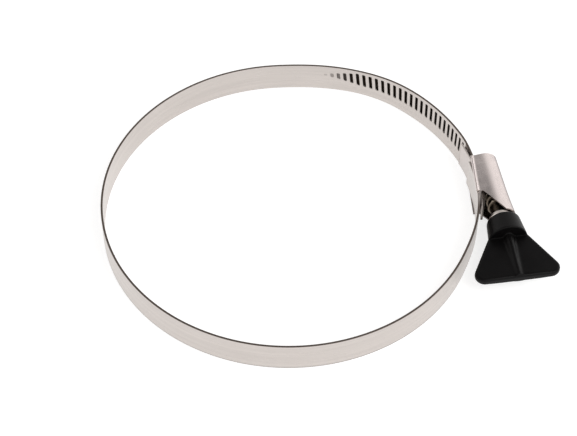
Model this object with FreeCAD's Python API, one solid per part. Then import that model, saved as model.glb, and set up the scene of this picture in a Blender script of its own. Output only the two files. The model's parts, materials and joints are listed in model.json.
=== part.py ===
import FreeCAD, Part
import math
import os

# Worm-drive hose clamp with a plastic wing grip, millimetres.
# Z is the axis of the clamped hose, with the origin at the ring's centre, half way up the band.
# The screw lies along Y on the +X side of the ring, and its grip points to -Y.

# Band
BAND_WIDTH = 9.0
BAND_THICKNESS = 0.6
RING_RADIUS = 50.9          # inner radius of the open ring
TONGUE_END_ANGLE = 6.3      # the fixed end stops just short of the housing's rear
SEAT_RISE = 1.0             # the tongue stands this much outside the ring under the housing
SEAT_START_ANGLE = -32.0
SEAT_END_ANGLE = -8.0
JOIN_ANGLE = 180.0          # where the plain half meets the threaded half
LAP_CLEARANCE = 0.3         # threaded end over the saddle
LAP_START_ANGLE = 44.0      # the threaded end starts to drop to the ring's radius here
LAP_END_ANGLE = 86.0

# Thread pressed into the band
PITCH = 2.0
THREAD_HEIGHT = 1.2         # the thread's centre line above the middle of the band
RIB_HEIGHT = 0.45
RIB_LENGTH = 4.8
RIB_BASE_WIDTH = 1.05
RIB_TOP_WIDTH = 0.85
GROOVE_LENGTH = 4.4
GROOVE_WIDTH = 0.9
GROOVE_DEPTH = 0.55
FIRST_RIB = 33              # ribs are counted from the +X axis
LAST_RIB = -3
RUN_OUT_RIBS = 5            # the first ribs grow step by step
TAIL_LENGTH_PITCHES = 4.2

# Screw
CREST_CLEARANCE = 0.15
CREST_RADIUS = 2.75
ROOT_RADIUS = 2.2
CREST_WIDTH = 0.55
ROOT_WIDTH = 0.85
THREAD_START = -10.0
THREAD_END = 5.0
TIP_END = 6.8
TIP_RADIUS = 1.95
JOURNAL_RADIUS = 2.15
FLANGE_RADIUS = 3.55
FLANGE_THICKNESS = 1.9
FLANGE_CLEARANCE = 0.1
HEX_ACROSS_FLATS = 6.0
HEX_LENGTH = 5.5
GRIP_REST_ANGLE = -1.2      # the wing's lean from level in the open position

# Housing and saddle
SADDLE_THICKNESS = 0.55
SADDLE_END_ANGLE = 13.0     # the saddle runs on past the housing's rear
SHEET = 0.45
EDGE_CLEARANCE = 0.12
DOME_RADIUS = 3.6
LEG_HEIGHT = 1.9            # upright part of each side wall, above the saddle
DOME_FRONT = -12.2
DOME_REAR = 7.9
FOOT_FRONT = -5.6
FOOT_REAR = 7.3
FOOT_FRONT_X = 51.3         # the side walls' lower edges run straight past the band's edges
FOOT_REAR_X = 52.4
SHOULDER_FRONT_X = 58.2     # the slanted front cut meets the square dome end here
LIP_THICKNESS = 0.6
LIP_CLEARANCE = 0.1
CLINCH_LENGTH = 2.4
CLINCH_WIDTH = 1.5
CLINCH_ANGLE = 3.6          # the two clinches sit this far each side of the X axis
CLINCH_GAP = 0.05

# Wing grip
NECK_LENGTH = 6.0
NECK_FRONT_RADIUS = 4.25
NECK_REAR_RADIUS = 5.3
GRIP_LENGTH = 20.6
WING_ROOT = 5.0
WING_ROOT_HALF_WIDTH = 4.7
WING_TIP_HALF_WIDTH = 13.4
WING_THICKNESS = 2.4
WING_CORNER_RADIUS = 2.6
BOSS_ROOT_RADIUS = 3.2
BOSS_TIP_RADIUS = 1.5
SOCKET_CLEARANCE = 0.05

# Worked out
HALF_WIDTH = BAND_WIDTH / 2
SEAT_RADIUS = RING_RADIUS + SEAT_RISE
FIXED_OUTER = SEAT_RADIUS + BAND_THICKNESS
SADDLE_OUTER = FIXED_OUTER + SADDLE_THICKNESS
LAP_RADIUS = SADDLE_OUTER + LAP_CLEARANCE
LAP_OUTER = LAP_RADIUS + BAND_THICKNESS
MESH_RADIUS = LAP_OUTER + RIB_HEIGHT / 2
RIB_STEP = math.degrees(PITCH / MESH_RADIUS)
TAIL_ANGLE = -TAIL_LENGTH_PITCHES * RIB_STEP
AXIS_X = LAP_OUTER + CREST_CLEARANCE + CREST_RADIUS
LEAD_ANGLE = math.degrees(math.atan(PITCH / (2 * math.pi * CREST_RADIUS)))
WALL_INSIDE = HALF_WIDTH + EDGE_CLEARANCE
SIDE = WALL_INSIDE + SHEET
NECK_START = DOME_FRONT - FLANGE_CLEARANCE - FLANGE_THICKNESS
STEP_DEGREES = 3.0          # spacing of the points on the band's curve


def vec(x, y, z=0.0):
    return FreeCAD.Vector(x, y, z)


def polar(radius, degrees, z=0.0):
    angle = math.radians(degrees)
    return vec(radius * math.cos(angle), radius * math.sin(angle), z)


def placed(shape, degrees):
    """Turn a shape made at the +X axis about the hose axis."""
    shape.rotate(vec(0, 0), vec(0, 0, 1), degrees)
    return shape


def box(x0, x1, y0, y1, z0, z1):
    return Part.makeBox(x1 - x0, y1 - y0, z1 - z0, vec(x0, y0, z0))


def clinch(inner, outer, degrees, gap):
    """One square peg through the tongue, or its window when gap is positive."""
    half_width = CLINCH_WIDTH / 2 + gap
    half_length = CLINCH_LENGTH / 2 + gap
    return placed(box(inner, outer, -half_width, half_width, -half_length, half_length), degrees)


def smooth_share(value, start, end):
    """How far value has gone from start to end, eased at both ends."""
    share = min(max((value - start) / (end - start), 0.0), 1.0)
    return share * share * (3 - 2 * share)


def fixed_radius(degrees):
    """Inner radius of the plain half: the ring's, then the seat's under the housing."""
    return RING_RADIUS + SEAT_RISE * smooth_share(degrees, SEAT_START_ANGLE, SEAT_END_ANGLE)


def lapped_radius(degrees):
    """Inner radius of the threaded half: lapped over the saddle, then down to the ring."""
    return LAP_RADIUS + (RING_RADIUS - LAP_RADIUS) * smooth_share(degrees, LAP_START_ANGLE, LAP_END_ANGLE)


def band_edges(radius_at, offset, stops):
    """Edges of one face of the band: arcs where the radius holds, a spline where it changes."""
    edges = []
    for start, end in zip(stops, stops[1:]):
        middle = (start + end) / 2
        radii = [radius_at(a) + offset for a in (start, middle, end)]
        if radii[0] == radii[2]:
            points = [polar(r, a, -HALF_WIDTH) for r, a in zip(radii, (start, middle, end))]
            edges.append(Part.Arc(*points).toShape())
            continue
        count = int((end - start) / STEP_DEGREES)
        angles = [start + (end - start) * i / count for i in range(count + 1)]
        curve = Part.BSplineCurve()
        curve.interpolate(
            Points=[polar(radius_at(a) + offset, a, -HALF_WIDTH) for a in angles],
            InitialTangent=polar(1.0, start + 90), FinalTangent=polar(1.0, end + 90))
        edges.append(curve.toShape())
    return edges


def band_strip(radius_at, stops):
    """Strip of band through the given angles, with its inner face at the given radius."""
    inner = band_edges(radius_at, 0.0, stops)
    outer = band_edges(radius_at, BAND_THICKNESS, stops)
    ends = [Part.makeLine(polar(radius_at(a), a, -HALF_WIDTH),
                          polar(radius_at(a) + BAND_THICKNESS, a, -HALF_WIDTH))
            for a in (stops[0], stops[-1])]
    outline = Part.Wire(Part.__sortEdges__(inner + outer + ends))
    return Part.Face(outline).extrude(vec(0, 0, BAND_WIDTH))


def fixed_band():
    """Plain half of the band, with the tongue that runs under the housing."""
    strip = band_strip(fixed_radius, [-JOIN_ANGLE, SEAT_START_ANGLE, SEAT_END_ANGLE, TONGUE_END_ANGLE])
    for angle in (-CLINCH_ANGLE, CLINCH_ANGLE):
        strip = strip.cut(clinch(RING_RADIUS, FIXED_OUTER + 1, angle, CLINCH_GAP))
    return strip


def saddle_plate():
    """Curved plate between the tongue and the threaded end, clinched through the tongue."""
    start = math.degrees(math.asin(FOOT_FRONT / SADDLE_OUTER))
    middle = (start + SADDLE_END_ANGLE) / 2
    inner, outer = (
        [polar(radius, a, -WALL_INSIDE) for a in (start, middle, SADDLE_END_ANGLE)]
        for radius in (FIXED_OUTER, SADDLE_OUTER))
    edges = [Part.Arc(*inner).toShape(), Part.Arc(*outer).toShape(),
             Part.makeLine(inner[0], outer[0]), Part.makeLine(inner[2], outer[2])]
    plate = Part.Face(Part.Wire(Part.__sortEdges__(edges))).extrude(vec(0, 0, 2 * WALL_INSIDE))
    pegs = [clinch(SEAT_RADIUS + CLINCH_GAP, FIXED_OUTER + CLINCH_GAP, angle, 0)
            for angle in (-CLINCH_ANGLE, CLINCH_ANGLE)]
    return plate.multiFuse(pegs).removeSplitter()


def wedge(base_width, top_width, length, low, high):
    """Straight ridge along Z, tapered from its base to its top."""
    corners = [vec(low, -base_width / 2), vec(high, -top_width / 2),
               vec(high, top_width / 2), vec(low, base_width / 2)]
    face = Part.Face(Part.makePolygon(corners + corners[:1]))
    ridge = face.extrude(vec(0, 0, length))
    ridge.translate(vec(0, 0, -length / 2))
    return ridge


def thread_ridge(index, ridge):
    """Lean a ridge to the lead angle and carry it to its place on the band."""
    ridge.rotate(vec(0, 0), vec(1, 0, 0), -LEAD_ANGLE)
    ridge.translate(vec(0, 0, THREAD_HEIGHT))
    return placed(ridge, index * RIB_STEP)


def rib_growth(index):
    return min(1.0, (FIRST_RIB - index + 1) / (RUN_OUT_RIBS + 1))


def threaded_band():
    """Other half of the band, with ribs outside and grooves inside that the screw drives."""
    strip = band_strip(lapped_radius, [TAIL_ANGLE, LAP_START_ANGLE, LAP_END_ANGLE, JOIN_ANGLE])
    ribs = []
    grooves = []
    for index in range(FIRST_RIB, LAST_RIB - 1, -1):
        growth = rib_growth(index)
        base = lapped_radius(index * RIB_STEP)
        face = base + BAND_THICKNESS
        ribs.append(thread_ridge(index, wedge(
            RIB_BASE_WIDTH, RIB_TOP_WIDTH, RIB_LENGTH * growth,
            face - BAND_THICKNESS / 2, face + RIB_HEIGHT * growth)))
        grooves.append(thread_ridge(index, wedge(
            GROOVE_WIDTH, GROOVE_WIDTH * 0.8, GROOVE_LENGTH * growth,
            base - 1, base + GROOVE_DEPTH * growth)))
    return strip.multiFuse(ribs).cut(Part.makeCompound(grooves))


def along_screw(shape):
    """Carry a shape made about Z from the origin onto the screw's axis, pointing to +Y."""
    shape.rotate(vec(0, 0), vec(1, 0, 0), -90)
    shape.translate(vec(AXIS_X, 0, THREAD_HEIGHT))
    return shape


def revolved(profile):
    """Solid of revolution from (radius, place along the axis) pairs."""
    points = [vec(radius, 0, place) for radius, place in profile]
    face = Part.Face(Part.makePolygon(points + points[:1]))
    return face.revolve(vec(0, 0), vec(0, 0, 1), 360)


def hexagon(across_flats, start, length):
    radius = across_flats / math.sqrt(3)
    corners = [polar(radius, 60 * i, start) for i in range(7)]
    return Part.Face(Part.makePolygon(corners)).extrude(vec(0, 0, length))


def worm_screw():
    """Screw: worm thread, journal, flange, and a hexagon head inside the grip."""
    flange_back = DOME_FRONT - FLANGE_CLEARANCE
    body = revolved([
        (0, TIP_END), (TIP_RADIUS - 0.6, TIP_END), (TIP_RADIUS, TIP_END - 0.6),
        (TIP_RADIUS, THREAD_END + 1), (ROOT_RADIUS, THREAD_END),
        (ROOT_RADIUS, THREAD_START - 1), (JOURNAL_RADIUS, THREAD_START - 1),
        (JOURNAL_RADIUS, flange_back), (FLANGE_RADIUS, flange_back),
        (FLANGE_RADIUS, NECK_START), (0, NECK_START)])
    helix = Part.makeHelix(PITCH, THREAD_END - THREAD_START, ROOT_RADIUS)
    helix.translate(vec(0, 0, THREAD_START))
    buried = ROOT_RADIUS - 0.3
    corners = [vec(buried, 0, THREAD_START - ROOT_WIDTH / 2),
               vec(CREST_RADIUS, 0, THREAD_START - CREST_WIDTH / 2),
               vec(CREST_RADIUS, 0, THREAD_START + CREST_WIDTH / 2),
               vec(buried, 0, THREAD_START + ROOT_WIDTH / 2)]
    section = Part.makePolygon(corners + corners[:1])
    thread = Part.Wire(helix.Edges).makePipeShell([section], True, True)
    head = hexagon(HEX_ACROSS_FLATS, NECK_START - HEX_LENGTH, HEX_LENGTH)
    head.rotate(vec(0, 0), vec(0, 0, 1), GRIP_REST_ANGLE)
    return along_screw(body.multiFuse([thread, head]).removeSplitter())


def rounded_outline(corners, radius):
    """Closed wire through convex corners, with the marked ones rounded."""
    edges = []
    count = len(corners)
    starts = []
    stops = []
    for i, (point, is_round) in enumerate(corners):
        before = corners[i - 1][0]
        after = corners[(i + 1) % count][0]
        to_before = (before - point).normalize()
        to_after = (after - point).normalize()
        half = to_before.getAngle(to_after) / 2
        cut = radius / math.tan(half) if is_round else 0.0
        starts.append(point + to_before * cut)
        stops.append(point + to_after * cut)
        if is_round:
            centre = point + (to_before + to_after).normalize() * (radius / math.sin(half))
            nearest = centre + (point - centre).normalize() * radius
            edges.append(Part.Arc(starts[i], nearest, stops[i]).toShape())
    for i in range(count):
        edges.append(Part.makeLine(stops[i], starts[(i + 1) % count]))
    return Part.Wire(Part.__sortEdges__(edges))


def wing_grip():
    """Moulded grip: tapered neck, fishtail wing and a rib down its middle."""
    root = NECK_START - WING_ROOT
    tip = NECK_START - GRIP_LENGTH
    neck_end = NECK_START - NECK_LENGTH
    neck = revolved([
        (0, NECK_START), (NECK_FRONT_RADIUS, NECK_START),
        (NECK_REAR_RADIUS, neck_end), (BOSS_ROOT_RADIUS, neck_end - 1.2), (0, neck_end - 1.2)])
    outline = rounded_outline([
        (vec(WING_ROOT_HALF_WIDTH, 0, root), False),
        (vec(WING_TIP_HALF_WIDTH, 0, tip), True),
        (vec(-WING_TIP_HALF_WIDTH, 0, tip), True),
        (vec(-WING_ROOT_HALF_WIDTH, 0, root), False)], WING_CORNER_RADIUS)
    wing = Part.Face(outline).extrude(vec(0, WING_THICKNESS, 0))
    wing.translate(vec(0, -WING_THICKNESS / 2, 0))
    boss = Part.makeCone(BOSS_TIP_RADIUS, BOSS_ROOT_RADIUS, neck_end - tip, vec(0, 0, tip))
    grip = neck.multiFuse([wing, boss])
    socket = hexagon(HEX_ACROSS_FLATS + 2 * SOCKET_CLEARANCE,
                     NECK_START - HEX_LENGTH - SOCKET_CLEARANCE, HEX_LENGTH + 1)
    grip = grip.cut(socket)
    grip.rotate(vec(0, 0), vec(0, 0, 1), GRIP_REST_ANGLE)
    return along_screw(grip)


def arch(sheet):
    """Prism in the form of the housing's outline across the screw, shrunk by the sheet."""
    radius = DOME_RADIUS - sheet
    half = SIDE - sheet
    knee = SADDLE_OUTER + LEG_HEIGHT
    foot = FOOT_FRONT_X - 1.0
    y = DOME_FRONT
    tangents = []
    for sign in (1, -1):
        reach = vec(AXIS_X - knee, THREAD_HEIGHT - sign * half)
        lean = math.atan2(reach.y, reach.x) + sign * math.asin(radius / reach.Length)
        length = math.sqrt(reach.Length ** 2 - radius ** 2)
        tangents.append(vec(knee + length * math.cos(lean), y, sign * half + length * math.sin(lean)))
    upper, lower = tangents
    crown = vec(AXIS_X + radius, y, THREAD_HEIGHT)
    outline = Part.Wire([
        Part.makeLine(vec(foot, y, half), vec(knee, y, half)),
        Part.makeLine(vec(knee, y, half), upper),
        Part.Arc(upper, crown, lower).toShape(),
        Part.makeLine(lower, vec(knee, y, -half)),
        Part.makeLine(vec(knee, y, -half), vec(foot, y, -half)),
        Part.makeLine(vec(foot, y, -half), vec(foot, y, half))])
    return Part.Face(outline).extrude(vec(0, DOME_REAR - DOME_FRONT, 0))


def housing_shell():
    """Pressed sheet cover over the screw, open at both ends and cut back above the band."""
    shell = arch(0.0).cut(arch(SHEET))
    far = AXIS_X + DOME_RADIUS + 1.0
    plan = [vec(FOOT_FRONT_X, FOOT_FRONT, -2 * SIDE), vec(SADDLE_OUTER, FOOT_FRONT, -2 * SIDE),
            vec(SHOULDER_FRONT_X, DOME_FRONT, -2 * SIDE), vec(far, DOME_FRONT, -2 * SIDE),
            vec(far, DOME_REAR, -2 * SIDE), vec(AXIS_X + DOME_RADIUS, DOME_REAR, -2 * SIDE),
            vec(FOOT_REAR_X, FOOT_REAR, -2 * SIDE)]
    prism = Part.Face(Part.makePolygon(plan + plan[:1])).extrude(vec(0, 0, 4 * SIDE))
    shell = shell.common(prism)
    return shell.fuse(retaining_lip(far)).removeSplitter()


def retaining_lip(far):
    """Inward rim at the front of the dome that sits behind the screw's flange."""
    inner = JOURNAL_RADIUS + LIP_CLEARANCE
    ring = revolved([(inner, DOME_FRONT), (DOME_RADIUS - SHEET / 2, DOME_FRONT),
                     (DOME_RADIUS - SHEET / 2, DOME_FRONT + LIP_THICKNESS),
                     (inner, DOME_FRONT + LIP_THICKNESS)])
    outer_side = box(SHOULDER_FRONT_X, far, DOME_FRONT - 1, DOME_FRONT + 2, -2 * SIDE, 2 * SIDE)
    return along_screw(ring).common(outer_side)


def export(shape, name):
    """Write one node, and print its place, its volume and whether it is sound."""
    shape.exportStep(os.path.join("parts", name + ".step"))
    b = shape.BoundBox
    print(name, "solids", len(shape.Solids), "valid", shape.isValid(), "volume", round(shape.Volume, 2),
          "box", [round(v, 2) for v in (b.XMin, b.YMin, b.ZMin, b.XMax, b.YMax, b.ZMax)])


os.makedirs("parts", exist_ok=True)
NODES = {
    "fixed_band": fixed_band,
    "saddle_plate": saddle_plate,
    "housing_shell": housing_shell,
    "threaded_band": threaded_band,
    "worm_screw": worm_screw,
    "wing_grip": wing_grip,
}
for node, build in NODES.items():
    export(build(), node)
print("rib step", round(RIB_STEP, 4), "degrees, screw axis at x", round(AXIS_X, 3))
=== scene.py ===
import json
import math

import bpy
import numpy as np
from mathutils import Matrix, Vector

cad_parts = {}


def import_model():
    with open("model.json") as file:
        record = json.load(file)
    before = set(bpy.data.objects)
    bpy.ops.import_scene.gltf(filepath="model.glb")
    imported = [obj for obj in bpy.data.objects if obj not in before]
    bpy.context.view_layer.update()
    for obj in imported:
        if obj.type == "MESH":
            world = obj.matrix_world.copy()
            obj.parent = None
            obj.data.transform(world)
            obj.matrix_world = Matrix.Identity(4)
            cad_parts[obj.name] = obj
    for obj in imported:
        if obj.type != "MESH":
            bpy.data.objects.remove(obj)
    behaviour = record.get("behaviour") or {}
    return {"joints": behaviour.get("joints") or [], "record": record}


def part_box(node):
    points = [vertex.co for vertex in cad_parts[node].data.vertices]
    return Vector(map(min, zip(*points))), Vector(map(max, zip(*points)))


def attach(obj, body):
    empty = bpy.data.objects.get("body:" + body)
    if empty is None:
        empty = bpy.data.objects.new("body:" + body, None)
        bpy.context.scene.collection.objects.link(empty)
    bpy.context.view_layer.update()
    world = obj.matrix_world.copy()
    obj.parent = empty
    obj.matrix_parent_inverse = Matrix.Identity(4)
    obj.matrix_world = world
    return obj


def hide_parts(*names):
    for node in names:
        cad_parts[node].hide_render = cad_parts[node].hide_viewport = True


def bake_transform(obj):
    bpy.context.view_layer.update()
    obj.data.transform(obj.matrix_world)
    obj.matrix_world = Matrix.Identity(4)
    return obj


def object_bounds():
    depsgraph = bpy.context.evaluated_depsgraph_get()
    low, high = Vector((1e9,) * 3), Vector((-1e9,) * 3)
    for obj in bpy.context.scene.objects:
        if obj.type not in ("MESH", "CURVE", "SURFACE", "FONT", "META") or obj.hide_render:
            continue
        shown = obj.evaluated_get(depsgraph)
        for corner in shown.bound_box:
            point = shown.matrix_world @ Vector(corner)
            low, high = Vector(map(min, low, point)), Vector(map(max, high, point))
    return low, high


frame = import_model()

# Worm-drive hose clamp with a plastic wing grip. Shapes are worked out in millimetres, in the CAD frame.

CAD_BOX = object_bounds()
MM = 0.001


def box_mm(node):
    return [[value / MM for value in corner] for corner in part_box(node)]


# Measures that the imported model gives
record = frame["record"]
joints = {joint["name"]: joint for joint in frame["joints"]}
screw_x, _, screw_z = [value / MM for value in joints["screw_turn"]["pos_m"]]
ring_radius = record["mounts"][0]["dims"]["r_mm"]
rib_step = 360 * record["behaviour"]["couplings"][0]["ratio"]
fixed_outer, _, half_width = box_mm("fixed_band")[1]
threaded_outer = box_mm("threaded_band")[1][0]
saddle_outer, _, saddle_half_width = box_mm("saddle_plate")[1]
shell_low, shell_high = box_mm("housing_shell")
wing_tip = box_mm("wing_grip")[0][1]

# Band, with angles in degrees round the ring from +X
THICKNESS = 0.6
EDGE_ROUND = 0.13
EDGE_STRIP_WIDTH = 0.4
SEAT_RISE = 1.0
SEAT_START = -32.0
SEAT_END = -8.0
TONGUE_END = 6.3
LAP_START = 44.0
LAP_END = 86.0
TAIL_PITCHES = 4.2
TWIST = 0.5
TWIST_GROWS = (6.0, 17.0)
TWIST_FADES = (36.0, 62.0)
TONGUE_POLISHED = (-13.0, -7.0)
NEVER_POLISHED = (200.0, 210.0)
UV_PER_MM = 0.01

# Thread pressed into the band, its ribs counted from +X towards +Y
FIRST_RIB = 33
LAST_RIB = -3
RUN_OUT = 5
LEAN = math.tan(math.radians(6.16))
GROOVE_HALF_WIDTH = 0.5
GROOVE_HALF_LENGTH = 2.25
GROOVE_DEPTH = 0.5
GROOVE_WALL = 0.13
GROOVE_CORNER = 0.3
RIB_HALF_WIDTH = 0.62
RIB_HALF_LENGTH = 2.45
RIB_HEIGHT = 0.44
RIB_WALL = 0.3
RIB_CORNER = 0.45
CAD_RIB_HEIGHT = 0.45
CORNER_SHARE = 0.9
ROWS_BELOW_THREAD = [-3.6, -2.7, -1.9]
ROWS_OVER_THREAD = np.arange(-1.45, 4.0, 0.15)
COLUMNS_OVER_RIB = [-0.8, -0.62, -0.5, -0.435, -0.37, -0.2, 0.0, 0.2, 0.37, 0.435, 0.5, 0.62, 0.8, 1.0]

# Painted shade in the grooves and on the tail, the dark tone of the sheared edges, a painted shadow line
# along the bottom of the outer face, and how much polishing takes off an edge
GROOVE_SHADE = 3.0
SHALLOW_GROOVE_SHADE = 1.4
TAIL_SHADE = 0.42
TAIL_RIB_SHADE = 0.25
TAIL_SHADE_FADES = (0.0, 9.0)
BOTTOM_SHADOW_SHADE = 0.6
POLISHED_EDGE = 0.85

# Screw
PITCH = 2.0
CREST = 2.75
ROOT = 2.2
THREAD_START = -10.0
THREAD_END = 5.0
TIP_RADIUS = 1.95
JOURNAL = 2.15
FLANGE = 3.95
COLLAR_NECK = 3.15
FLANGE_BACK = -12.8
TURNED_SIDES = 72
THREAD_RUN_IN = 1.2
JOURNAL_STEP = 0.12
THREAD_STEP = 0.07
TIP_ROUND = 6.3
TIP_PLACES = [5.9, 6.0, 6.1, 6.2, TIP_ROUND, 6.42, 6.54, 6.64, 6.72, 6.78, 6.8]

# Housing
SHEET = 0.45
shell_half_width = saddle_half_width + SHEET
KNEE_X = 54.9
FRONT_OVERHANG = 0.5
FRONT_FOOT = -5.6
REAR_FOOT = 7.3
FRONT_FOOT_X = 51.3
REAR_FOOT_X = 52.4
FRONT_CROWN = 3.95
REAR_CROWN = 3.35
CROWN_FLARE = 0.3
FLARE_SHARE = 0.45
BEAD_WIDTH = 0.7
BEAD_RISE = 0.14
BEAD_FULLNESS = 0.7
SADDLE_END = 14.2
SADDLE_END_HALF = 4.3
SHOULDER_X = 58.2
ROUNDNESS = 2.3
LOWER_ROUNDNESS = 1.9
UNDERSIDE_SHADE = 0.8
INSIDE_SHADE = 0.9

# Grip
NECK_START = -14.7
NECK_LENGTH = 6.3
NECK_FRONT = 4.62
NECK_REAR = 5.4
WING_ROOT = 4.5
WING_ROOT_HALF = 4.7
WING_TIP_HALF = 13.4
WING_HALF_THICKNESS = 1.2
WING_CORNER = 2.6
GRIP_ANGLE = -1.2
GRIP_SHIFT = 0.35
WING_TOP = 3.0
WING_THINNING = 0.25
WING_THINS = (4.0, 13.0)
NECK_ROUND = 0.3
WING_ROUND = 0.7
BOSS_HALF_WIDTH = 1.65
BOSS_HALF_HEIGHT = 2.85
BOSS_NARROWING = 0.75
BOSS_LOWERING = 1.3
BOSS_START = 1.0
BOSS_STOP = 0.5
BOSS_FILLET = 0.7
NECK_FILLET = 0.05
GRIP_HALF_DEPTH = 5.7
GRIP_GRID = 0.2

# Camera
CAMERA_ELEVATION = 49.33
CAMERA_AZIMUTH = -8.0
CAMERA_DISTANCE = 0.48925
CAMERA_LENS = 109.64
CAMERA_SHIFT = -0.0009


def eased(value, start, end):
    """How far value has gone from start to end, eased at both ends."""
    share = np.clip((value - start) / (end - start), 0.0, 1.0)
    return share * share * (3 - 2 * share)


def mesh_object(name, points, faces, material, sharp=45.0):
    """Smooth-shaded object from points in millimetres, with a crease where faces meet sharply."""
    mesh = bpy.data.meshes.new(name)
    mesh.from_pydata((np.asarray(points, float) * MM).tolist(), [], faces)
    mesh.validate()
    mesh.materials.append(material)
    mesh.polygons.foreach_set("use_smooth", [True] * len(mesh.polygons))
    mesh.set_sharp_from_angle(angle=math.radians(sharp))
    obj = bpy.data.objects.new(name, mesh)
    bpy.context.scene.collection.objects.link(obj)
    return obj


def grid_faces(rows, columns, close_columns=False):
    """Quads between neighbouring points of a grid stored row by row."""
    last = columns if close_columns else columns - 1
    return [(i * columns + j, i * columns + (j + 1) % columns,
             (i + 1) * columns + (j + 1) % columns, (i + 1) * columns + j)
            for i in range(rows - 1) for j in range(last)]


def end_caps(rows, columns):
    """The two faces that close a tube of rows, each of that many columns."""
    return [tuple(range(columns)), tuple((rows - 1) * columns + j for j in reversed(range(columns)))]


def point_attribute(obj, name, values):
    attribute = obj.data.attributes.new(name, "FLOAT", "POINT")
    attribute.data.foreach_set("value", np.asarray(values, np.float32))


def bevelled(obj, width, segments=3, angle=40.0):
    bevel = obj.modifiers.new("edge_round", "BEVEL")
    bevel.width = width * MM
    bevel.segments = segments
    bevel.limit_method = "ANGLE"
    bevel.angle_limit = math.radians(angle)
    bevel.harden_normals = True
    return obj


# ---------------------------------------------------------------- materials

class Nodes:
    """Short calls for building one material."""

    def __init__(self, name):
        self.material = bpy.data.materials.new(name)
        self.material.use_nodes = True
        self.tree = self.material.node_tree
        self.shader = self.tree.nodes["Principled BSDF"]

    def add(self, kind, **inputs):
        node = self.tree.nodes.new(kind)
        for key, value in inputs.items():
            self.set(node, key, value)
        return node

    def set(self, node, key, value):
        socket = node.inputs[int(key[1:])] if key[0] == "i" and key[1:].isdigit() else node.inputs[key]
        if isinstance(value, bpy.types.NodeSocket):
            self.tree.links.new(value, socket)
        else:
            socket.default_value = value

    def attribute(self, name):
        node = self.add("ShaderNodeAttribute")
        node.attribute_name = name
        return node.outputs["Fac"]

    def coordinates(self, scale, uv=False):
        source = self.add("ShaderNodeUVMap" if uv else "ShaderNodeTexCoord")
        if uv:
            source.uv_map = "strip"
        mapping = self.add("ShaderNodeMapping", Vector=source.outputs["UV" if uv else "Object"])
        mapping.inputs["Scale"].default_value = scale
        return mapping.outputs["Vector"]

    def noise(self, vector, scale, detail=3.0, roughness=0.55):
        node = self.add("ShaderNodeTexNoise", Vector=vector, Scale=scale, Detail=detail,
                        Roughness=roughness)
        return node.outputs["Fac"]

    def ramp(self, value, low, high, out_low, out_high):
        """value from low..high carried to out_low..out_high, held outside."""
        node = self.add("ShaderNodeMapRange", Value=value)
        for key, number in zip(("From Min", "From Max", "To Min", "To Max"),
                               (low, high, out_low, out_high)):
            node.inputs[key].default_value = number
        return node.outputs["Result"]

    def mix(self, share, a, b):
        node = self.add("ShaderNodeMix")
        node.data_type = "RGBA"
        self.set(node, "i0", share)
        self.set(node, "i6", a)
        self.set(node, "i7", b)
        return node.outputs[2]

    def math(self, operation, a, b=0.0):
        node = self.add("ShaderNodeMath", i0=a, i1=b)
        node.operation = operation
        return node.outputs[0]

    def bump(self, height, distance, strength=1.0):
        node = self.add("ShaderNodeBump", Height=height)
        node.inputs["Distance"].default_value = distance
        node.inputs["Strength"].default_value = strength
        self.set(self.shader, "Normal", node.outputs["Normal"])


def rolled_steel(name, colour, edge_and_shadow_colour, painted_shade_colour, roughness):
    """Stainless strip: fine rolling lines along its length, darker sheared edges with a painted shadow line
    along the bottom of the outer face, and painted shade in the pressed grooves and on the tail.
    """
    n = Nodes(name)
    fine = n.noise(n.coordinates((9.0, 900.0, 1.0), uv=True), 1.0, 4.0, 0.6)
    broad = n.noise(n.coordinates((2.5, 90.0, 1.0), uv=True), 1.0, 2.0)
    cloud = n.noise(n.coordinates((1.0, 1.0, 1.0)), 55.0, 3.0)
    shade = n.math("ADD", n.ramp(fine, 0.3, 0.7, 0.0, 0.35), n.ramp(broad, 0.3, 0.7, 0.0, 0.65))
    light = [min(1.0, c * 1.07) for c in colour] + [1.0]
    dark = [c * 0.9 for c in colour] + [1.0]
    face = n.mix(shade, dark, light)
    tint = n.mix(n.ramp(cloud, 0.35, 0.65, 0.0, 0.35), face, (*[c * 0.93 for c in colour], 1.0))
    # The edge tone covers the sheared edges and also a painted shadow line along the bottom of the outer
    # face.
    edged = n.mix(n.attribute("edge"), tint, (*edge_and_shadow_colour, 1.0))
    # Painted shade from a point attribute: dark in the pressed grooves and on the tail.
    with_painted_shade = n.mix(n.attribute("painted_shade"), edged, (*painted_shade_colour, 1.0))
    n.set(n.shader, "Base Color", with_painted_shade)
    n.set(n.shader, "Metallic", 1.0)
    grain = n.ramp(fine, 0.3, 0.7, roughness - 0.05, roughness + 0.07)
    worn = n.math("ADD", grain, n.math("MULTIPLY", n.attribute("edge"), 0.15))
    n.set(n.shader, "Roughness", n.math("ADD", worn, n.math("MULTIPLY", n.attribute("painted_shade"), 0.25)))
    n.bump(fine, 0.000004)
    return n.material


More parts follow.
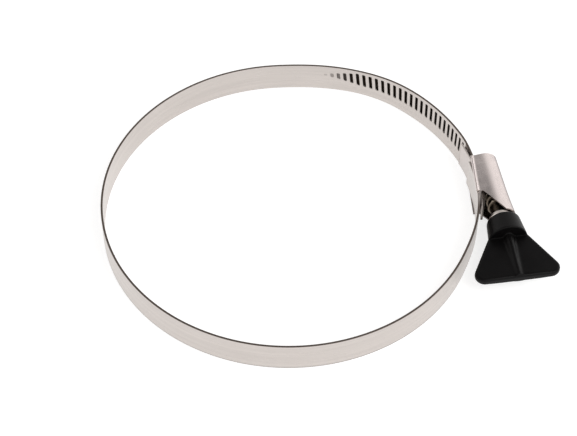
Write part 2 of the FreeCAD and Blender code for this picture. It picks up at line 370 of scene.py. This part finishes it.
def pressed_steel(name, colour, dark, roughness, rim=1.0):
    """Bright pressed sheet: faint drawing marks along the screw, clouded sheen, fine scratches, and painted
    shade in the colour dark, laid on by a point attribute.
    """
    n = Nodes(name)
    drawn = n.noise(n.coordinates((700.0, 25.0, 700.0)), 1.0, 4.0, 0.6)
    cloud = n.noise(n.coordinates((1.0, 1.0, 1.0)), 260.0, 4.0)
    scratch = n.noise(n.coordinates((150.0, 2600.0, 900.0)), 1.0, 2.0)
    shade = n.math("ADD", n.ramp(drawn, 0.3, 0.7, 0.0, 0.5), n.ramp(cloud, 0.3, 0.7, 0.0, 0.5))
    face = n.mix(shade, (*[c * 0.92 for c in colour], 1.0), (*[min(1.0, c * 1.05) for c in colour], 1.0))
    # Painted shade: mixed towards the colour dark where the point attribute asks.
    shaded = n.mix(n.attribute("painted_shade"), face, (*dark, 1.0))
    n.set(n.shader, "Base Color", shaded)
    n.set(n.shader, "Metallic", 1.0)
    n.set(n.shader, "Roughness", n.math("ADD", n.ramp(cloud, 0.3, 0.7, roughness - 0.05, roughness + 0.06),
                                        n.ramp(scratch, 0.62, 0.75, 0.0, 0.08)))
    n.shader.inputs["Specular Tint"].default_value = (rim, rim, rim, 1.0)
    n.bump(n.math("ADD", drawn, n.ramp(scratch, 0.6, 0.8, 0.0, 0.6)), 0.000005)
    return n.material


def moulded_plastic(name, colour, worn_colour, roughness):
    """Black moulded plastic: fine spark-eroded grain, slight sheen, edges rubbed a little lighter."""
    n = Nodes(name)
    grain = n.noise(n.coordinates((1.0, 1.0, 1.0)), 5200.0, 3.0, 0.6)
    cloud = n.noise(n.coordinates((1.0, 1.0, 1.0)), 240.0, 3.0)
    rub = n.noise(n.coordinates((1.0, 1.0, 1.0)), 900.0, 4.0, 0.65)
    edges = n.add("ShaderNodeNewGeometry").outputs["Pointiness"]
    rubbed = n.math("MULTIPLY", n.ramp(edges, 0.53, 0.6, 0.0, 1.0), n.ramp(rub, 0.4, 0.65, 0.0, 1.0))
    base = n.mix(n.ramp(cloud, 0.35, 0.65, 0.0, 1.0), (*colour, 1.0), (*[c * 1.35 for c in colour], 1.0))
    n.set(n.shader, "Base Color", n.mix(rubbed, base, (*worn_colour, 1.0)))
    n.set(n.shader, "Roughness", n.math("ADD", n.ramp(grain, 0.3, 0.7, roughness - 0.06, roughness + 0.06),
                                        n.ramp(cloud, 0.3, 0.7, -0.03, 0.03)))
    n.shader.inputs["Specular IOR Level"].default_value = 0.12
    n.bump(grain, 0.000018, 0.6)
    return n.material


# Each steel's darkest colour is painted shade. The band's edge colour is the sheared edges' tone, and it
# also paints a shadow line.
BAND_STEEL = rolled_steel("band_steel", (0.595, 0.55, 0.52), (0.14, 0.115, 0.1), (0.016, 0.011, 0.007), 0.3)
HOUSING_STEEL = pressed_steel("housing_steel", (0.76, 0.685, 0.665), (0.12, 0.1, 0.095), 0.2, 0.35)
SADDLE_STEEL = pressed_steel("saddle_steel", (0.6, 0.55, 0.525), (0.1, 0.08, 0.07), 0.3)
# The screw's colour is darker than the other steel's, as painted shade for the housing over it.
SCREW_STEEL = pressed_steel("screw_steel", (0.36, 0.3, 0.24), (0.02, 0.013, 0.008), 0.3)
FLANGE_STEEL = pressed_steel("flange_steel", (0.8, 0.74, 0.7), (0.03, 0.022, 0.017), 0.3)
GRIP_PLASTIC = moulded_plastic("grip_plastic", (0.0022, 0.0019, 0.002), (0.006, 0.0055, 0.0055), 0.4)


# ---------------------------------------------------------------- band

def fixed_radius(degrees):
    return ring_radius + SEAT_RISE * eased(degrees, SEAT_START, SEAT_END)


def lapped_radius(degrees):
    lap = threaded_outer - THICKNESS - CAD_RIB_HEIGHT
    return lap + (ring_radius - lap) * eased(degrees, LAP_START, LAP_END)


def strip_section(inner_rows):
    """Closed section of the strip: (depth from the inner face, height, face 0 inner, 1 outer or 2 edge)."""
    e = EDGE_ROUND
    section = [(0.0, z, 0) for z in inner_rows]
    corners = []
    for k in range(1, 4):
        a = math.radians(30 * k)
        corners.append((e - e * math.cos(a), half_width - e + e * math.sin(a)))
    top = corners + [(THICKNESS / 2, half_width)] + [(THICKNESS - d, z) for d, z in reversed(corners)]
    section += [(d, z, 2) for d, z in top]
    section += [(THICKNESS, z, 1) for z in reversed(inner_rows)]
    section += [(THICKNESS - d, -z, 2) for d, z in top]
    return section


def rounded_box_depth(u, v, half_u, half_v, corner, wall):
    """1 on the floor of a rounded rectangle, easing to 0 over its wall, 0 outside."""
    qu = np.abs(u) - (half_u - corner)
    qv = np.abs(v) - (half_v - corner)
    outside = np.hypot(np.maximum(qu, 0), np.maximum(qv, 0)) + np.minimum(np.maximum(qu, qv), 0) - corner
    return eased(-outside, 0.0, wall)


def twist(degrees):
    """How far the strip's top edge stands out, and its bottom edge in, where it leaves the housing."""
    return TWIST * eased(degrees, *TWIST_GROWS) * (1 - eased(degrees, *TWIST_FADES))


def pressed_thread(ribs, angles, arc, height, kind, offset, painted_shade):
    """Press the ribs into the outer face and the grooves into the inner one, and paint shade into the
    grooves and onto the tail.
    """
    v = (height - screw_z)[None, :]
    for rib_angle, growth in ribs:
        near = np.abs(angles - rib_angle) < rib_step * 0.6
        u = ((angles[near] - rib_angle) / arc[near, 0])[:, None]
        groove_length, rib_length = GROOVE_HALF_LENGTH * growth, RIB_HALF_LENGTH * growth
        groove = rounded_box_depth(u, v, GROOVE_HALF_WIDTH, groove_length,
                                   min(GROOVE_CORNER, groove_length * CORNER_SHARE), GROOVE_WALL)
        rib = rounded_box_depth(u, v, RIB_HALF_WIDTH, rib_length,
                                min(RIB_CORNER, rib_length * CORNER_SHARE), RIB_WALL)
        depth = np.where(kind == 0, groove * GROOVE_DEPTH, 0) + np.where(kind == 1, rib * RIB_HEIGHT, 0)
        offset[near] += depth * growth
        # Painted shade in each groove, weaker in the shallow grooves where the thread starts.
        dark = np.where(kind == 0, np.clip(groove * GROOVE_SHADE, 0, 1), 0)
        painted_shade[near] += dark * min(1.0, growth * SHALLOW_GROOVE_SHADE)
    # Painted shade on the tail's outer face and edges, where the housing shades it, lighter on the raised
    # ribs.
    tail = TAIL_SHADE - TAIL_RIB_SHADE * np.clip(offset - THICKNESS, 0, 1) / RIB_HEIGHT
    painted_shade += np.where(kind > 0, tail, 0) * (1 - eased(angles, *TAIL_SHADE_FADES))[:, None]


def strip_uv(obj, along, around):
    """Texture place of every corner: how far along the strip and how far round its section."""
    count = len(around)
    index = np.zeros(len(obj.data.loops), np.int64)
    obj.data.loops.foreach_get("vertex_index", index)
    uv = np.zeros((len(index), 2), np.float32)
    uv[:, 0] = along[index // count] * UV_PER_MM
    uv[:, 1] = around[index % count] * UV_PER_MM
    obj.data.uv_layers.new(name="strip").data.foreach_set("uv", uv.reshape(-1))


def band_mesh(name, radius_at, angles, ribs, lean_at, polished):
    """One length of band. angles run along it, and ribs are (angle, growth) pairs pressed into it.

    Its cut edges turn from dark to polished between the two polished angles."""
    edge = half_width - EDGE_ROUND
    inside = edge - EDGE_STRIP_WIDTH
    if ribs:
        rows = [-edge, -inside, *ROWS_BELOW_THREAD, *ROWS_OVER_THREAD, inside, edge]
    else:
        rows = [-edge, *np.linspace(-inside, inside, 9), edge]
    section = strip_section(rows)
    across = np.array([s[0] for s in section])
    height = np.array([s[1] for s in section])
    kind = np.array([s[2] for s in section])
    angles = np.asarray(angles, float)
    arc = np.degrees(1.0 / radius_at(angles))[:, None] if ribs else 1.0
    theta = np.repeat(angles[:, None], len(section), axis=1)
    offset = np.repeat(across[None, :], len(angles), axis=0)
    painted_shade = np.zeros_like(offset)
    if ribs:
        theta = theta + lean_at(angles)[:, None] * LEAN * (height - screw_z)[None, :] * arc
        pressed_thread(ribs, angles, arc, height, kind, offset, painted_shade)
    radius = radius_at(theta) + offset
    if ribs:
        radius = radius + twist(theta) * (height / half_width)[None, :]
    turn = np.radians(theta)
    points = np.stack([radius * np.cos(turn), radius * np.sin(turn),
                       np.repeat(height[None, :], len(angles), axis=0)], axis=-1)
    count = len(section)
    faces = grid_faces(len(angles), count, close_columns=True) + end_caps(len(angles), count)
    obj = mesh_object(name, points.reshape(-1, 3), faces, BAND_STEEL)
    worn = 1 - POLISHED_EDGE * eased(angles, *polished)
    # Painted shadow: a dark line along the bottom strip of the outer face, where the band meets the floor.
    bottom_shadow = (kind == 1) & (height < -inside - 0.01)
    edge_tone_and_shadow = (kind == 2)[None, :] * worn[:, None] + BOTTOM_SHADOW_SHADE * bottom_shadow[None, :]
    point_attribute(obj, "edge", edge_tone_and_shadow.reshape(-1))
    point_attribute(obj, "painted_shade", painted_shade.reshape(-1))
    around = np.concatenate([[0.0], np.cumsum(np.hypot(np.diff(across), np.diff(height)))])
    strip_uv(obj, np.radians(angles) * ring_radius, around)
    return obj


def thread_columns(ribs):
    """Angles of the mesh columns over the thread: on each wall of each groove and rib."""
    columns = []
    for rib_angle, _ in ribs:
        arc = math.degrees(1.0 / float(lapped_radius(rib_angle)))
        columns += [rib_angle + offset * arc for offset in COLUMNS_OVER_RIB]
    return columns


RIBS = [(index * rib_step, min(1.0, (FIRST_RIB - index + 1) / (RUN_OUT + 1)))
        for index in range(FIRST_RIB, LAST_RIB - 1, -1)]
TAIL_ANGLE = -TAIL_PITCHES * rib_step


def lean_share(degrees):
    """How much of the ribs' lean the mesh columns take, easing to none over the plain stretches."""
    return eased(degrees, TAIL_ANGLE + 0.1, RIBS[-1][0] - rib_step * 0.55) \
        * (1 - eased(degrees, RIBS[0][0] + rib_step * 0.55, RIBS[0][0] + 3 * rib_step))


front_angles = np.concatenate([np.linspace(-180, SEAT_START, 200),
                               np.linspace(SEAT_START, TONGUE_END, 60)[1:]])
band_front = band_mesh("band_plain_half", fixed_radius, front_angles, [], None, TONGUE_POLISHED)
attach(band_front, "housing")

after = np.linspace(RIBS[0][0] + 1.2, 180, 140)
before = np.linspace(TAIL_ANGLE, RIBS[-1][0] - 1.1, 4)
back_angles = sorted(set(round(a, 5) for a in [*before, *thread_columns(RIBS), *after]))
band_back = band_mesh("band_threaded_half", lapped_radius, back_angles, RIBS, lean_share, NEVER_POLISHED)
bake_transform(band_back)

for piece, node in ((band_front, "fixed_band"), (band_back, "threaded_band")):
    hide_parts(node)


# ---------------------------------------------------------------- saddle plate

def saddle():
    """Curved plate under the housing and a little past its rear, its two long edges rolled round."""
    start = math.degrees(math.asin(FRONT_FOOT / saddle_outer))
    rear = math.degrees(math.asin(REAR_FOOT / saddle_outer))
    r = (saddle_outer - fixed_outer) / 2
    roll = [(r * math.cos(a), r * math.sin(a)) for a in np.radians(np.linspace(180, 0, 9))]
    points = []
    angles = np.linspace(start, SADDLE_END, 24)
    for angle in angles:
        turn = math.radians(angle)
        narrowed = float(eased(angle, rear - 1.0, rear + 0.5))
        half = saddle_half_width - (saddle_half_width - SADDLE_END_HALF) * narrowed
        section = [(r + d, half - r + h) for d, h in roll] + [(r - d, -half + r - h) for d, h in roll]
        points += [((fixed_outer + d) * math.cos(turn), (fixed_outer + d) * math.sin(turn), z)
                   for d, z in section]
    count = len(roll) * 2
    faces = grid_faces(len(angles), count, close_columns=True) + end_caps(len(angles), count)
    return bevelled(mesh_object("saddle_base", points, faces, SADDLE_STEEL), 0.08)


saddle_piece = saddle()
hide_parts("saddle_plate")
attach(saddle_piece, "housing")


# ---------------------------------------------------------------- housing

def shell_profile(crown, foot):
    """Outline of the housing across the screw, from the upper foot over the crown to the lower foot."""
    reach = crown - KNEE_X
    upper = shell_half_width - screw_z
    lower = shell_half_width + screw_z
    bead = np.linspace(0, 1, 9)
    rim = [(foot + BEAD_WIDTH * t, shell_half_width + BEAD_RISE * math.sin(math.pi * t) ** BEAD_FULLNESS)
           for t in bead]
    wall = list(np.linspace(foot + BEAD_WIDTH, KNEE_X, 6)[1:-1])
    turns = np.radians(np.linspace(90, 0, 34))
    points = rim + [(x, shell_half_width) for x in wall]
    points += [(KNEE_X + reach * math.cos(a) ** (2 / ROUNDNESS),
                screw_z + upper * math.sin(a) ** (2 / ROUNDNESS)) for a in turns[:-1]]
    points.append((crown, screw_z))
    points += [(KNEE_X + reach * math.cos(a) ** (2 / ROUNDNESS),
                screw_z - lower * math.sin(a) ** (2 / LOWER_ROUNDNESS)) for a in turns[::-1][1:]]
    points += [(x, -shell_half_width) for x in reversed(wall)]
    points += [(x, -z) for x, z in reversed(rim)]
    return np.array(points)


def shell():
    """Sheet cover over the screw, square at the back and cut back on a slant at the front."""
    front_y, rear_y = shell_low[1] - FRONT_OVERHANG, shell_high[1]
    rows = 44
    front = shell_profile(screw_x + FRONT_CROWN, FRONT_FOOT_X)
    rear = shell_profile(screw_x + REAR_CROWN, REAR_FOOT_X)
    layers = []
    for inset in (0.0, SHEET):
        grid = []
        for share in np.linspace(0, 1, rows):
            outline = front * (1 - share) + rear * share
            flare = CROWN_FLARE * max(0.0, 1 - share / FLARE_SHARE) ** 1.5
            outline[:, 0] += flare * np.clip((outline[:, 0] - screw_x) / REAR_CROWN, 0, 1)
            tangent = np.gradient(outline, axis=0)
            tangent /= np.linalg.norm(tangent, axis=1)[:, None]
            normal = np.stack([-tangent[:, 1], tangent[:, 0]], axis=1)
            section = outline - normal * inset
            x = outline[:, 0]
            slant = np.clip((x - saddle_outer) / (SHOULDER_X - saddle_outer), 0, 1)
            cut = FRONT_FOOT + (front_y - FRONT_FOOT) * slant
            slant = np.clip((x - saddle_outer) / (screw_x - saddle_outer), 0, 1)
            back = REAR_FOOT + (rear_y - REAR_FOOT) * slant
            y = cut + (back - cut) * share
            grid.append(np.stack([section[:, 0], y, section[:, 1]], axis=1))
        layers.append(np.array(grid))
    columns = layers[0].shape[1]
    outer, inner = [layer.reshape(-1, 3) for layer in layers]
    size = rows * columns
    faces = grid_faces(rows, columns)
    faces += [tuple(size + v for v in reversed(face)) for face in grid_faces(rows, columns)]
    rim = list(range(columns)) + [i * columns + columns - 1 for i in range(1, rows)] \
        + [(rows - 1) * columns + j for j in reversed(range(columns - 1))] \
        + [i * columns for i in reversed(range(1, rows - 1))]
    faces += [(a, a + size, b + size, b) for a, b in zip(rim, rim[1:] + rim[:1])]
    obj = mesh_object("housing_cover", np.concatenate([outer, inner]), faces, HOUSING_STEEL, 40)
    # Painted shade: the cover's outside darkens from a little above the screw's axis downwards, and its
    # inside is dark all over.
    under = UNDERSIDE_SHADE * eased(screw_z - outer[:, 2], -1.5, -0.5)
    point_attribute(obj, "painted_shade", np.concatenate([under, np.full(size, INSIDE_SHADE)]))
    return bevelled(obj, 0.11)


shell_piece = shell()
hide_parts("housing_shell")
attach(shell_piece, "housing")


# ---------------------------------------------------------------- screw

def screw_point(y, angle, radius):
    """Point at a place along the screw, with the angle from +X and the thread rising along +Y."""
    return (screw_x + radius * np.cos(angle), y, screw_z - radius * np.sin(angle))


def worm():
    """Worm thread between a turned tip and the journal."""
    cut_from, cut_to = THREAD_START - THREAD_RUN_IN, THREAD_END + THREAD_RUN_IN
    places = np.concatenate([np.arange(FLANGE_BACK + 0.02, cut_from, JOURNAL_STEP),
                             np.arange(cut_from, cut_to, THREAD_STEP), TIP_PLACES])
    angle = np.linspace(0, 2 * math.pi, TURNED_SIDES, endpoint=False)
    y, phi = np.meshgrid(places, angle, indexing="ij")
    phase = (y - THREAD_START) / PITCH - phi / (2 * math.pi)
    from_crest = np.abs(phase - np.round(phase)) * PITCH
    tooth = 1 - eased(from_crest, 0.2, 0.46)
    grown = eased(y, THREAD_START - 0.6, THREAD_START + 1.0) \
        * (1 - eased(y, THREAD_END - 0.8, THREAD_END + 0.5))
    core = np.where(y < THREAD_START - 0.9, JOURNAL, ROOT)
    core = np.where(y > THREAD_END + 0.7, TIP_RADIUS, core)
    core = np.where(y > TIP_ROUND, TIP_RADIUS - 0.6 * eased(y, 6.25, 6.85) ** 2, core)
    radius = core + (CREST - ROOT) * tooth * grown
    x, yy, z = screw_point(y, phi, radius)
    points = np.stack([x, yy, z], axis=-1).reshape(-1, 3)
    faces = grid_faces(len(places), TURNED_SIDES, close_columns=True)
    faces += reversed(end_caps(len(places), TURNED_SIDES))
    obj = mesh_object("worm", points, faces, SCREW_STEEL, 50)
    # Painted shade everywhere but on the thread's crests.
    point_attribute(obj, "painted_shade", (1 - tooth * grown).reshape(-1) * 0.9)
    return obj


def flange():
    """Turned collar between the housing and the grip: a thin flange on a narrower neck."""
    # Rows give radius, place along the screw and painted shade, which darkens the narrow neck behind the
    # flange.
    profile = [(JOURNAL + 0.1, FLANGE_BACK + 0.9, 0.5),
               (COLLAR_NECK - 0.6, FLANGE_BACK + 0.1, 0.4),
               (COLLAR_NECK, FLANGE_BACK - 0.1, 0.3),
               (COLLAR_NECK + 0.1, NECK_START + 0.85, 0.5),
               (FLANGE - 0.1, NECK_START + 0.6, 0.0),
               (FLANGE, NECK_START + 0.5, 0.0),
               (FLANGE, NECK_START, 0.0),
               (0.5, NECK_START, 0.0)]
    points = []
    for radius, y, _ in profile:
        points += [screw_point(y, 2 * math.pi * k / TURNED_SIDES, radius) for k in range(TURNED_SIDES)]
    faces = grid_faces(len(profile), TURNED_SIDES, close_columns=True)
    obj = mesh_object("screw_collar", points, faces, FLANGE_STEEL, 35)
    point_attribute(obj, "painted_shade", np.repeat([shade for _, _, shade in profile], TURNED_SIDES))
    return bevelled(obj, 0.06, 2, 35)


worm_piece = worm()
collar_piece = flange()
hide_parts("worm_screw")
for piece in (worm_piece, collar_piece):
    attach(piece, "screw")


# ---------------------------------------------------------------- grip

def soft_union(a, b, radius):
    """Union of two distance fields with a fillet of about that radius."""
    mixed = np.clip(0.5 + 0.5 * (b - a) / radius, 0.0, 1.0)
    return b * (1 - mixed) + a * mixed - radius * mixed * (1 - mixed)


def polygon_distance(x, y, corners):
    """Signed distance to a convex polygon listed anticlockwise, negative inside."""
    away = np.full(x.shape, -1e9)
    near = np.full(x.shape, 1e9)
    for (ax, ay), (bx, by) in zip(corners, corners[1:] + corners[:1]):
        ex, ey = bx - ax, by - ay
        length = math.hypot(ex, ey)
        away = np.maximum(away, ((x - ax) * ey - (y - ay) * ex) / length)
        t = np.clip(((x - ax) * ex + (y - ay) * ey) / length ** 2, 0, 1)
        near = np.minimum(near, np.hypot(x - ax - t * ex, y - ay - t * ey))
    return np.where(away > 0, near, -near)


def rounded_intersection(a, b, radius):
    """Where two distance fields overlap, with the edge between them rounded."""
    return np.hypot(np.maximum(a + radius, 0), np.maximum(b + radius, 0)) \
        + np.minimum(np.maximum(a, b) + radius, 0) - radius


def grip_field(x, y, z):
    """Distance field of the grip. z runs along the screw, x across the wing, y through it."""
    end = NECK_START - NECK_LENGTH
    lean = (NECK_REAR - NECK_FRONT) / NECK_LENGTH
    wall = (np.hypot(x, y) - (NECK_FRONT + (NECK_START - z) * lean)) / math.hypot(1, lean)
    caps = np.maximum(z - NECK_START, end - z)
    neck = rounded_intersection(wall, caps, NECK_ROUND)
    c = WING_CORNER
    spread = WING_TIP_HALF - WING_ROOT_HALF
    length = NECK_START - WING_ROOT - wing_tip
    inset = WING_TIP_HALF - c * math.hypot(length, spread) / length - c * spread / length
    root = inset - (NECK_START - WING_TOP - wing_tip - c) * spread / length
    outline = polygon_distance(x, z, [(-inset, wing_tip + c), (inset, wing_tip + c),
                                      (root, NECK_START - WING_TOP), (-root, NECK_START - WING_TOP)]) - c
    plate = np.abs(y) - (WING_HALF_THICKNESS - WING_THINNING * eased(np.abs(x), *WING_THINS))
    wing = rounded_intersection(outline, plate, WING_ROUND)
    share = np.clip((end - z) / (end - wing_tip), 0, 1)
    boss_x = BOSS_HALF_WIDTH - BOSS_NARROWING * share
    boss_y = BOSS_HALF_HEIGHT - BOSS_LOWERING * share
    boss = (np.hypot(x / boss_x, y / boss_y) - 1) * boss_x
    boss = np.maximum(boss, np.maximum(z - end - BOSS_START, wing_tip + BOSS_STOP - z))
    return soft_union(neck, soft_union(wing, boss, BOSS_FILLET), NECK_FILLET)


def surface_net(field, origin, step):
    """Quad mesh of the zero level of a field sampled on a regular grid."""
    shape = np.array(field.shape)
    total = np.zeros((*(shape - 1), 3))
    count = np.zeros(shape - 1)
    crossings = []
    for axis in range(3):
        low = np.take(field, range(shape[axis] - 1), axis)
        high = np.take(field, range(1, shape[axis]), axis)
        crossing = (low < 0) != (high < 0)
        share = np.where(crossing, low / np.where(crossing, low - high, 1.0), 0.0)
        steps = [np.arange(n, dtype=float) for n in low.shape]
        place = np.stack(np.meshgrid(*steps, indexing="ij"), axis=-1)
        place[..., axis] += share
        place *= crossing[..., None]
        others = [a for a in range(3) if a != axis]
        for da in (0, 1):
            for db in (0, 1):
                window = [slice(None)] * 3
                window[others[0]] = slice(da, shape[others[0]] - 1 + da)
                window[others[1]] = slice(db, shape[others[1]] - 1 + db)
                total += place[tuple(window)]
                count += crossing[tuple(window)]
        crossings.append((axis, others, crossing, low < 0))
    filled = count > 0
    index = np.full(filled.shape, -1)
    index[filled] = np.arange(int(filled.sum()))
    points = np.array(origin) + step * total[filled] / count[filled][:, None]
    faces = []
    for axis, others, crossing, low_inside in crossings:
        cells = np.argwhere(crossing)
        keep = np.all([(cells[:, a] > 0) & (cells[:, a] < shape[a] - 1) for a in others], axis=0)
        cells = cells[keep]
        ring = []
        for da, db in ((1, 1), (0, 1), (0, 0), (1, 0)):
            moved = cells.copy()
            moved[:, others[0]] -= da
            moved[:, others[1]] -= db
            ring.append(index[moved[:, 0], moved[:, 1], moved[:, 2]])
        quads = np.stack(ring, axis=1)
        flip = low_inside[cells[:, 0], cells[:, 1], cells[:, 2]] == (axis == 1)
        quads[flip] = quads[flip][:, ::-1]
        faces += quads.tolist()
    return points, faces


def grip():
    """Wing grip, turned to its rest angle and carried onto the screw."""
    low = np.array([-WING_TIP_HALF - 0.8, -GRIP_HALF_DEPTH, wing_tip - 0.6])
    high = np.array([WING_TIP_HALF + 0.8, GRIP_HALF_DEPTH, NECK_START + 0.6])
    axes = [np.arange(a, b, GRIP_GRID) for a, b in zip(low, high)]
    field = grip_field(*np.meshgrid(*axes, indexing="ij"))
    points, faces = surface_net(field, low, GRIP_GRID)
    turn = math.radians(GRIP_ANGLE)
    x = points[:, 0] * math.cos(turn) - points[:, 1] * math.sin(turn)
    y = points[:, 0] * math.sin(turn) + points[:, 1] * math.cos(turn)
    placed = np.stack([screw_x + GRIP_SHIFT + x, points[:, 2], screw_z - y], axis=1)
    return mesh_object("grip_moulding", placed, faces, GRIP_PLASTIC, 60)


grip_piece = grip()
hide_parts("wing_grip")
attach(grip_piece, "screw")


# ---------------------------------------------------------------- studio

def floor():
    n = Nodes("floor_white")
    cloud = n.noise(n.coordinates((1.0, 1.0, 1.0)), 6.0, 2.0)
    n.set(n.shader, "Base Color", n.mix(cloud, (0.5, 0.5, 0.5, 1.0), (0.52, 0.52, 0.52, 1.0)))
    n.shader.inputs["Roughness"].default_value = 0.9
    n.shader.inputs["Specular IOR Level"].default_value = 0.0
    n.shader.inputs["Emission Color"].default_value = (1.0, 1.0, 1.0, 1.0)
    n.shader.inputs["Emission Strength"].default_value = 0.72
    z = CAD_BOX[0].z / MM
    obj = mesh_object("floor", [(-2500, -2500, z), (2500, -2500, z), (2500, 2500, z), (-2500, 2500, z)],
                      [(0, 1, 2, 3)], n.material)


def world():
    """Studio surround: bright low walls, a dimmer ceiling."""
    sky = bpy.data.worlds.new("studio")
    bpy.context.scene.world = sky
    sky.use_nodes = True
    tree = sky.node_tree
    coordinates = tree.nodes.new("ShaderNodeTexCoord")
    split = tree.nodes.new("ShaderNodeSeparateXYZ")
    ramp = tree.nodes.new("ShaderNodeValToRGB")
    tree.links.new(coordinates.outputs["Generated"], split.inputs[0])
    tree.links.new(split.outputs["Z"], ramp.inputs["Fac"])
    tree.links.new(ramp.outputs["Color"], tree.nodes["Background"].inputs["Color"])
    stops = [(0.0, 1.02), (0.55, 1.02), (0.66, 0.88), (0.715, 0.5), (0.745, 0.2), (0.8, 0.15), (1.0, 0.4)]
    elements = ramp.color_ramp.elements
    while len(elements) < len(stops):
        elements.new(0.5)
    for element, (place, value) in zip(elements, stops):
        element.position = place
        element.color = (value, value * 0.985, value * 0.975, 1.0)


def area_light(name, place, aim, size, power):
    data = bpy.data.lights.new(name, "AREA")
    data.shape = "RECTANGLE"
    data.size, data.size_y = size
    data.energy = power
    obj = bpy.data.objects.new(name, data)
    bpy.context.scene.collection.objects.link(obj)
    obj.location = place
    obj.rotation_euler = (Vector(aim) - Vector(place)).to_track_quat("-Z", "Y").to_euler()


def camera():
    data = bpy.data.cameras.new("camera")
    obj = bpy.data.objects.new("camera", data)
    bpy.context.scene.collection.objects.link(obj)
    elevation = math.radians(CAMERA_ELEVATION)
    azimuth = math.radians(CAMERA_AZIMUTH)
    back = Vector((math.sin(azimuth) * math.cos(elevation), -math.cos(azimuth) * math.cos(elevation),
                   math.sin(elevation)))
    obj.location = Vector((0, 0, -half_width * MM)) + back * CAMERA_DISTANCE
    obj.rotation_euler = (-back).to_track_quat("-Z", "Y").to_euler()
    data.sensor_width = 36.0
    data.shift_y = CAMERA_SHIFT
    data.lens = CAMERA_LENS
    data.clip_start = 0.01
    data.clip_end = 20.0
    bpy.context.scene.camera = obj


floor()
world()
area_light("key_softbox", (0.35, -0.5, 0.75), (0, 0, 0), (0.5, 0.5), 3.0)
area_light("side_softbox", (0.9, 0.35, 0.3), (0.02, 0, 0), (0.5, 0.9), 1.6)
camera()
bpy.context.scene.view_settings.view_transform = "Standard"
